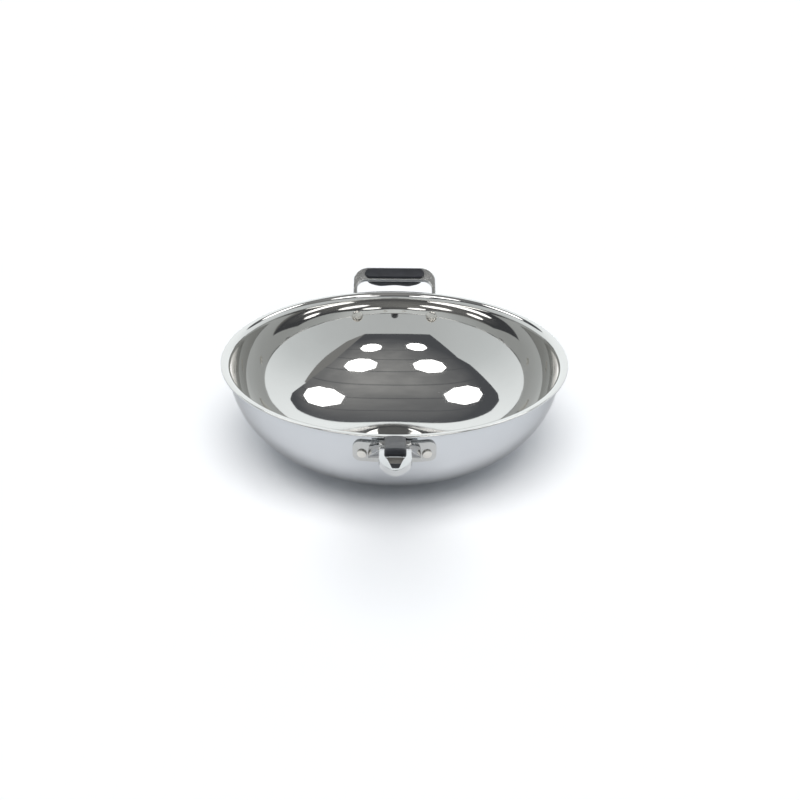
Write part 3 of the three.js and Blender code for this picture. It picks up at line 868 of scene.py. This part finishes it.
def rivet_shape(fasteners, wall, plate):
    """Rivet with a low dome on the handle plate and a fuller dome inside the bowl."""
    base = plate + 2 * CLEARANCE
    big, rise = fasteners.inner_head_radius, fasteners.inner_head_height
    small, lift = fasteners.outer_head_radius, fasteners.outer_head_height
    bottom, top, side = -wall - rise, base + lift, base + 0.55 * lift
    # The shares of a head's radius and height give its dome its fullness.
    pull, push = (0.62 * big, bottom), (big, -wall - 0.75 * rise)
    inside = curve_points((0, bottom), pull, push, (big, -wall), steps=10)
    shoulder = (0.86 * small, base + 0.8 * lift)
    outside = curve_points((small, base), (small, side), (small, side), shoulder, steps=5)
    outside += curve_points(outside[-1], (0.6 * small, top), (0.3 * small, top), (0, top), steps=6)[1:]
    points = inside + [(fasteners.shank_radius, -wall), (fasteners.shank_radius, base)] + outside
    return turned(points, steps=48)


def screw_shape(fasteners, face, top):
    """Countersunk screw with a slot, its head toward -Z."""
    edge, slot, slot_depth = 0.25 * MM, 0.4 * MM, 0.9 * MM
    wide, shank = fasteners.screw_head_radius, fasteners.screw_radius
    head = -face + fasteners.screw_sink
    neck = head + fasteners.screw_head_height
    shape = turned([
        (0, head), (0.5 * wide, head), (wide - edge, head), (wide, head + edge),
        (shank, neck), (shank, top), (0, top),
    ], steps=32)
    slice_along(shape, 0, [-slot, slot])

    def in_slot(part):
        middle = part.calc_center_median()
        return abs(middle.z - head) < 10 * SAME_PLACE and abs(middle.x) < slot

    floor = [part for part in shape.faces if in_slot(part)]
    sunk = bmesh.ops.extrude_face_region(shape, geom=floor)["geom"]
    bmesh.ops.delete(shape, geom=floor, context="FACES")
    moved = [v for v in sunk if isinstance(v, bmesh.types.BMVert)]
    bmesh.ops.translate(shape, verts=moved, vec=(0, 0, slot_depth))
    bmesh.ops.recalc_face_normals(shape, faces=shape.faces)
    return shape


def set_fastener(node, shape, matrix):
    bmesh.ops.transform(shape, matrix=matrix, verts=shape.verts)
    new_piece(node, "rivet_steel", shape, "Rivet steel")


class WOK_OT_rivets(bpy.types.Operator):
    """Turn the four rivets and set them through the wall and the handle plates"""

    bl_idname = "wok.rivets"
    bl_label = "Rivets"

    def execute(self, context):
        scene = context.scene
        bowl, handle, loop = scene.wok_bowl, scene.wok_long_handle, scene.wok_loop_handle
        rows = (
            ("long_handle", handle.rivet_spacing, handle.rivet_drop, -1),
            ("loop_handle", loop.foot_spacing, loop.foot_drop, 1),
        )
        for owner, spacing, drop, toward in rows:
            for side, x in (("left", -spacing / 2), ("right", spacing / 2)):
                shape = rivet_shape(scene.wok_fasteners, bowl.wall, handle.flange_thick)
                matrix = wall_frame(bowl, x, bowl.height - drop, toward)
                set_fastener(f"{owner}_rivet_{side}", shape, matrix)
        return {"FINISHED"}


class WOK_OT_screws(bpy.types.Operator):
    """Turn the four slotted screws and set them under the lower grips"""

    bl_idname = "wok.screws"
    bl_label = "Grip screws"

    def execute(self, context):
        scene = context.scene
        bowl, handle, loop = scene.wok_bowl, scene.wok_long_handle, scene.wok_loop_handle
        rear, front = long_screw_frames(handle, Arch(bowl, handle))
        left, right = loop_screw_frames(bowl, loop)
        rows = (
            ("long_handle_screw_rear", rear, long_screw_face(handle), handle.thick),
            ("long_handle_screw_front", front, long_screw_face(handle), handle.thick),
            ("loop_handle_screw_left", left, loop_screw_face(loop), loop.thick),
            ("loop_handle_screw_right", right, loop_screw_face(loop), loop.thick),
        )
        for node, matrix, face, thick in rows:
            shape = screw_shape(scene.wok_fasteners, face, thick / 2 - scene.wok_fasteners.recess)
            set_fastener(node, shape, matrix)
        return {"FINISHED"}


# ---------------------------------------------------------------- finishes

# Sockets of a Mix node that mixes colours.
MIX_FACTOR, MIX_LOW, MIX_HIGH, MIX_RESULT = 0, 6, 7, 2
FINE_BUMP = 0.05 * MM
# Light that has been mirrored more often than this inside the bowl is left to a glow.
GLOW_DEPTH = 3.5


def opaque(tint):
    return (*tint, 1)


def feed(tree, node, inputs):
    """Sets a node's inputs, and links those whose value is another node's output."""
    for label, value in inputs.items():
        if isinstance(value, bpy.types.NodeSocket):
            tree.links.new(value, node.inputs[label])
        else:
            node.inputs[label].default_value = value


def add_node(tree, kind, inputs=None, **settings):
    node = tree.nodes.new(kind)
    for key, value in settings.items():
        setattr(node, key, value)
    feed(tree, node, inputs or {})
    return node


def object_place(tree):
    return add_node(tree, "ShaderNodeTexCoord").outputs["Object"]


def axis_of(tree, vector, axis):
    return add_node(tree, "ShaderNodeSeparateXYZ", {0: vector}).outputs[axis]


def calculate(tree, operation, *values):
    return add_node(tree, "ShaderNodeMath", dict(enumerate(values)), operation=operation).outputs[0]


def on_vector(tree, operation, inputs):
    node = add_node(tree, "ShaderNodeVectorMath", inputs, operation=operation)
    return node.outputs["Value" if operation == "LENGTH" else "Vector"]


def noise(tree, place, **inputs):
    return add_node(tree, "ShaderNodeTexNoise", {"Vector": place, **inputs}).outputs["Fac"]


def graded(tree, value, low, high, start=0.3, end=0.7):
    """Spreads a value between two others, by default from the middle of a noise."""
    inputs = {"Value": value, "From Min": start, "From Max": end, "To Min": low, "To Max": high}
    return add_node(tree, "ShaderNodeMapRange", inputs).outputs["Result"]


def mixed(tree, factor, low, high):
    inputs = {MIX_FACTOR: factor, MIX_LOW: opaque(low), MIX_HIGH: opaque(high)}
    return add_node(tree, "ShaderNodeMix", inputs, data_type="RGBA").outputs[MIX_RESULT]


def tinted(tree, value, tint, drift):
    """Lets a colour drift a little darker and lighter over the surface."""
    low, high = [c * (1 - drift) for c in tint], [min(c * (1 + drift), 1) for c in tint]
    return mixed(tree, graded(tree, value, low=0, high=1), low, high)


def polish_rings(tree, place, given):
    """Fine lines that run round the bowl, as a polishing wheel leaves them."""
    flat = on_vector(tree, "MULTIPLY", {0: place, 1: (1, 1, 0)})
    around = on_vector(tree, "NORMALIZE", {0: flat})
    stretched = on_vector(tree, "SCALE", {0: around, "Scale": given["Length"]})
    radius = on_vector(tree, "LENGTH", {0: flat})
    level = calculate(tree, "ADD", radius, axis_of(tree, place, "Z"))
    lines = calculate(tree, "MULTIPLY", level, given["Lines per metre"])
    upright = add_node(tree, "ShaderNodeCombineXYZ", {"Z": lines}).outputs[0]
    spot = on_vector(tree, "ADD", {0: stretched, 1: upright})
    return noise(tree, spot, Scale=1.0, Detail=3.0, Roughness=0.6)


def drawn_lines(tree, place, given):
    """Fine lines along Y, as a belt leaves them on the handles."""
    squashed = add_node(tree, "ShaderNodeMapping", {"Vector": place, "Scale": (1, 0.04, 0.5)}).outputs[0]
    return noise(tree, squashed, Scale=given["Lines per metre"], Detail=2.0)


def soft_clouds(tree, place, given):
    """Broad uneven patches, such as handling and buffing leave."""
    return noise(tree, place, Scale=given["Patches per metre"], Detail=given["Detail"], Roughness=0.55)


def moulded_grain(tree, place, given):
    """Fine pebbled grain of a moulded grip."""
    inputs = {"Vector": place, "Scale": given["Pebbles per metre"]}
    return add_node(tree, "ShaderNodeTexVoronoi", inputs, feature="SMOOTH_F1").outputs["Distance"]


# Each pattern's node group: its name, its number inputs and its one output.
PATTERNS = {
    polish_rings: ("Wok polish rings", {"Lines per metre": 900.0, "Length": 3.0}, "Rings"),
    drawn_lines: ("Wok drawn lines", {"Lines per metre": 1400.0}, "Lines"),
    soft_clouds: ("Wok soft clouds", {"Patches per metre": 14.0, "Detail": 4.0}, "Clouds"),
    moulded_grain: ("Wok moulded grain", {"Pebbles per metre": 1500.0}, "Grain"),
}


def place_pattern(tree, pattern, inputs):
    """Output of a pattern's node group, which is made when it is first placed."""
    name, defaults, output = PATTERNS[pattern]
    group = bpy.data.node_groups.get(name)
    if not group:
        group = bpy.data.node_groups.new(name, "ShaderNodeTree")
        for label, default in defaults.items():
            socket = group.interface.new_socket(name=label, in_out="INPUT", socket_type="NodeSocketFloat")
            socket.default_value = default
        group.interface.new_socket(name=output, in_out="OUTPUT", socket_type="NodeSocketFloat")
        given = add_node(group, "NodeGroupInput").outputs
        add_node(group, "NodeGroupOutput", {output: pattern(group, object_place(group), given)})
    return add_node(tree, "ShaderNodeGroup", inputs, node_tree=group).outputs[output]


def new_material(name):
    material = bpy.data.materials.new(name)
    material.use_nodes = True
    tree = material.node_tree
    return material, tree, tree.nodes["Principled BSDF"]


def surface(
    name, tint, drift, clouds, rough, bump, marks=None, rough_marks=False,
    metallic=1.0, glancing=1.0, glow=0.0,
):
    """Material whose tint drifts in clouds and whose marks raise it.

    Its roughness follows the marks or the clouds, and the glow stands for light that bounces on inside.
    """
    material, tree, shader = new_material(name)
    broad = place_pattern(tree, soft_clouds, clouds)
    fine = place_pattern(tree, *marks) if marks else broad
    strength, distance = bump
    raised = add_node(tree, "ShaderNodeBump", {"Strength": strength, "Distance": distance, "Height": fine})
    feed(tree, shader, {
        "Base Color": tinted(tree, broad, getattr(bpy.context.scene.wok_finish, tint), drift),
        "Metallic": metallic,
        "Roughness": graded(tree, fine if rough_marks else broad, *rough),
        "Specular Tint": (glancing, glancing, glancing, 1),
        "Normal": raised.outputs["Normal"],
    })
    if glow:
        depth = add_node(tree, "ShaderNodeLightPath").outputs["Glossy Depth"]
        deep = calculate(tree, "GREATER_THAN", depth, GLOW_DEPTH)
        feed(tree, shader, {"Emission Color": deep, "Emission Strength": glow})
    return material


# Handle steel with fine drawn lines, from bright to satin by its roughness.
DRAWN = dict(
    drift=0.04, clouds={"Patches per metre": 60.0}, bump=(0.05, FINE_BUMP),
    marks=(drawn_lines, {}), rough_marks=True,
)
FINISHES = {
    # Mirror polish with faint wheel rings and cloudy roughness.
    "Mirror steel": dict(
        tint="inside", drift=0.02, clouds={"Patches per metre": 22.0},
        rough=(0.03, 0.055), bump=(0.03, FINE_BUMP),
        marks=(polish_rings, {"Lines per metre": 700.0, "Length": 5.0}), glow=0.9,
    ),
    # Soft polish with rings round the bowl. Its tint, darker and bluer than the inside's, is painted shade
    # standing in for the shaded floor that the outside mirrors.
    "Satin steel": dict(
        tint="outside", drift=0.03, clouds={"Patches per metre": 9.0},
        rough=(0.09, 0.13), bump=(0.04, FINE_BUMP),
        marks=(polish_rings, {"Lines per metre": 1300.0, "Length": 4.0}), rough_marks=True, glancing=0.6,
    ),
    "Handle steel": dict(tint="handle", rough=(0.06, 0.11), **DRAWN),
    "Flange steel": dict(tint="flange", rough=(0.18, 0.28), **DRAWN),
    # Cut faces of the hanging hole: rough like a cut face, with a dark tint that is painted shade inside
    # the hole.
    "Cut steel": dict(tint="cut", rough=(0.45, 0.6), **DRAWN),
    # Pressed and tumbled rivet and screw heads.
    "Rivet steel": dict(
        tint="rivet", drift=0.05, clouds={"Patches per metre": 320.0, "Detail": 3.0},
        rough=(0.10, 0.2), bump=(0.15, 0.3 * MM),
    ),
    # Black moulded plastic with a fine grain and uneven sheen.
    "Grip black": dict(
        tint="grip", drift=0.25, clouds={"Patches per metre": 90.0}, rough=(0.36, 0.48),
        bump=(0.2, 0.2 * MM), marks=(moulded_grain, {}), metallic=0.0,
    ),
}


def finishes(*names):
    """Materials by name, each made when it is first needed."""
    return [bpy.data.materials.get(name) or surface(name, **FINISHES[name]) for name in names]


# ---------------------------------------------------------------- stage

WHITE = (1, 1, 1)
FLOOR_REACH = 9
ROOM_RADIUS = 4.0
ROOM_HEIGHT = 6.0
ROOM_GLOW = 1.3
SIDE_WALLS = 0.48       # where the side walls' tone lies between the front and the back
SOFTBOX_DROP = 0.05     # softboxes below the ceiling
BEAMS_PER_METRE = 1.6
BEAM_SHARE = 0.07       # of the space from beam to beam
BEAM_SHADE = 0.45


def stage_object(name, shape, material, mirrored_only=True):
    """Stage object that only shiny surfaces mirror, or that the camera sees as well."""
    made = new_object(name, shape, [material])
    if mirrored_only:
        for ray in ("camera", "diffuse", "shadow", "transmission", "volume_scatter"):
            setattr(made, f"visible_{ray}", False)


def glowing(name, strength, paint):
    """Material that gives off the light of a paint, which makes its colour in the material's tree."""
    material, tree, _ = new_material(name)
    tree.nodes.clear()
    glow = add_node(tree, "ShaderNodeEmission", {"Color": paint(tree), "Strength": strength})
    add_node(tree, "ShaderNodeOutputMaterial", {"Surface": glow.outputs[0]})
    return material


def room_paint(tree, stage):
    """Pale room walls, darker on the camera's side and brightest behind the bowl."""
    depth = axis_of(tree, object_place(tree), "Y")
    along = graded(tree, depth, low=0, high=1, start=-ROOM_RADIUS, end=ROOM_RADIUS)
    ramp = add_node(tree, "ShaderNodeValToRGB", {"Fac": along})
    tones = ramp.color_ramp.elements
    tones[0].color = opaque(stage.room_front)
    tones[1].color = opaque(stage.room_back)
    tones.new(SIDE_WALLS).color = opaque(stage.room_side)
    return ramp.outputs["Color"]


def ceiling_paint(tree, stage):
    """Dark ceiling, greyer in the middle, with thin beams across it."""
    place = object_place(tree)
    inputs = {"Vector": place, "Location": (-0.17, -0.08, 0), "Scale": (0.50, 0.38, 0)}
    oval = add_node(tree, "ShaderNodeMapping", inputs).outputs[0]
    fade = add_node(tree, "ShaderNodeTexGradient", {"Vector": oval}, gradient_type="SPHERICAL")
    patches = noise(tree, place, Scale=2.0, Detail=3.0)
    uneven = graded(tree, patches, low=0.75, high=1.1, start=0.35, end=0.65)
    spaced = calculate(tree, "MULTIPLY", axis_of(tree, place, "Y"), BEAMS_PER_METRE)
    between = calculate(tree, "GREATER_THAN", calculate(tree, "FRACT", spaced), BEAM_SHARE)
    shade = graded(tree, between, low=BEAM_SHADE, high=1, start=0, end=1)
    lined = calculate(tree, "MULTIPLY", shade, uneven)
    pale = calculate(tree, "MULTIPLY", fade.outputs["Fac"], lined)
    return mixed(tree, pale, stage.ceiling_edge, stage.ceiling_middle)


def floor_paint(stage):
    material, tree, shader = new_material("Studio floor")
    feed(tree, shader, {"Base Color": opaque(stage.floor), "Roughness": 1.0, "Specular IOR Level": 0.0})
    return material


class WOK_OT_stage(bpy.types.Operator):
    """Set up the pale floor, the mirrored room, the light and the camera"""

    bl_idname = "wok.stage"
    bl_label = "Stage"

    # Softbox places and sizes on the ceiling, in metres.
    SOFTBOXES = (
        (0.66, -1.38, 0.32), (-0.65, -1.48, 0.32),
        (0.65, -0.27, 0.35), (-0.68, -0.24, 0.35),
        (1.0, 1.38, 0.47), (-0.99, 1.25, 0.44),
    )
    # Corners of the dark ceiling, in metres.
    CEILING = (
        (1.42, -3.05), (1.44, -0.25), (1.68, 1.0), (1.96, 1.85), (1.90, 2.28), (1.45, 2.58), (-1.45, 2.58),
        (-1.94, 2.33), (-2.06, 1.90), (-1.96, 0.9), (-1.89, -0.1), (-1.71, -0.6), (-1.76, -3.08),
    )
    # Corners of the paler margin along one side of the ceiling, in metres.
    MARGIN = (
        (1.42, -3.05), (1.44, -0.25), (1.68, 1.0), (1.76, 1.0),
        (1.83, 0.5), (1.90, 0.0), (1.94, -0.6), (1.90, -1.3), (1.86, -2.0),
    )

    def execute(self, context):
        scene = context.scene
        stage = scene.wok_stage
        floor = created(bmesh.ops.create_grid, x_segments=8, y_segments=8, size=FLOOR_REACH)
        stage_object("stage_floor", floor, floor_paint(stage), mirrored_only=False)

        paint = glowing("Dark ceiling", 1.0, lambda tree: ceiling_paint(tree, stage))
        stage_object("stage_ceiling", flat_shape(self.CEILING, stage.ceiling_height), paint)
        paint = glowing("Ceiling margin", 1.0, lambda tree: opaque(stage.ceiling_margin))
        stage_object("stage_ceiling_margin", flat_shape(self.MARGIN, stage.ceiling_height), paint)

        paint = glowing("Softbox face", stage.softbox_glow, lambda tree: opaque(WHITE))
        turn = Matrix.Rotation(math.pi / 8, 4, "Z")
        for index, (x, y, radius) in enumerate(self.SOFTBOXES):
            place = Matrix.Translation((x, y, stage.ceiling_height - SOFTBOX_DROP)) @ turn
            box = created(bmesh.ops.create_circle, cap_ends=True, segments=8, radius=radius, matrix=place)
            stage_object(f"stage_softbox_{index + 1}", box, paint)

        room = created(
            bmesh.ops.create_cone, cap_ends=False, segments=96, radius1=ROOM_RADIUS, radius2=ROOM_RADIUS,
            depth=ROOM_HEIGHT, matrix=Matrix.Translation((0, 0, ROOM_HEIGHT / 2)),
        )
        paint = glowing("Room walls", ROOM_GLOW, lambda tree: room_paint(tree, stage))
        stage_object("stage_room", room, paint)

        world = bpy.data.worlds.new("Studio")
        world.use_nodes = True
        tree = world.node_tree
        seen = add_node(tree, "ShaderNodeLightPath").outputs
        shiny = calculate(tree, "ADD", seen["Is Glossy Ray"], seen["Is Transmission Ray"])
        direct = calculate(tree, "ADD", seen["Is Camera Ray"], shiny)
        feed(tree, tree.nodes["Background"], {"Color": mixed(tree, direct, stage.fill, WHITE)})
        scene.world = world

        key = bpy.data.lights.new("Key", "SUN")
        key.energy = stage.key
        key.angle = stage.key_spread
        lamp = link_object("Key", key)
        lamp.rotation_euler = Euler((math.pi / 2 - stage.key_height, 0, 0))
        lamp.visible_glossy = False

        camera = bpy.data.cameras.new("Camera")
        camera.sensor_width = 36
        camera.lens = stage.lens
        camera.clip_end = 50
        viewer = link_object("Camera", camera)
        viewer.location = stage.camera_place
        viewer.rotation_euler = Euler(stage.camera_turn)
        scene.camera = viewer
        scene.view_settings.view_transform = "Standard"
        return {"FINISHED"}


# ---------------------------------------------------------------- add-on

class WOK_PT_build(bpy.types.Panel):
    """Panel that lists the steps and their settings"""

    bl_idname = "WOK_PT_build"
    bl_label = "Riveted wok"
    bl_space_type = "VIEW_3D"
    bl_region_type = "UI"
    bl_category = "Wok"

    def draw(self, context):
        for operator in OPERATORS:
            self.layout.operator(operator.bl_idname)
        for name in SETTINGS:
            box = self.layout.box()
            group = getattr(context.scene, name)
            for key in group.__annotations__:
                box.prop(group, key)


OPERATORS = (
    WOK_OT_stage,
    WOK_OT_bowl,
    WOK_OT_long_frame,
    WOK_OT_long_grips,
    WOK_OT_loop_frame,
    WOK_OT_loop_grips,
    WOK_OT_rivets,
    WOK_OT_screws,
)

SETTINGS = {
    "wok_bowl": BowlSettings,
    "wok_fasteners": FastenerSettings,
    "wok_long_handle": LongHandleSettings,
    "wok_loop_handle": LoopHandleSettings,
    "wok_finish": FinishSettings,
    "wok_stage": StageSettings,
}


def register():
    for cls in (*SETTINGS.values(), *OPERATORS, WOK_PT_build):
        bpy.utils.register_class(cls)
    for name, cls in SETTINGS.items():
        setattr(bpy.types.Scene, name, PointerProperty(type=cls))


def unregister():
    for name in SETTINGS:
        delattr(bpy.types.Scene, name)
    for cls in (WOK_PT_build, *reversed(OPERATORS), *reversed(SETTINGS.values())):
        bpy.utils.unregister_class(cls)


def main():
    register()
    bpy.ops.wok.stage()
    bpy.ops.wok.bowl()
    bpy.ops.wok.long_frame()
    bpy.ops.wok.long_grips()
    bpy.ops.wok.loop_frame()
    bpy.ops.wok.loop_grips()
    bpy.ops.wok.rivets()
    bpy.ops.wok.screws()


if __name__ == "__main__":
    main()
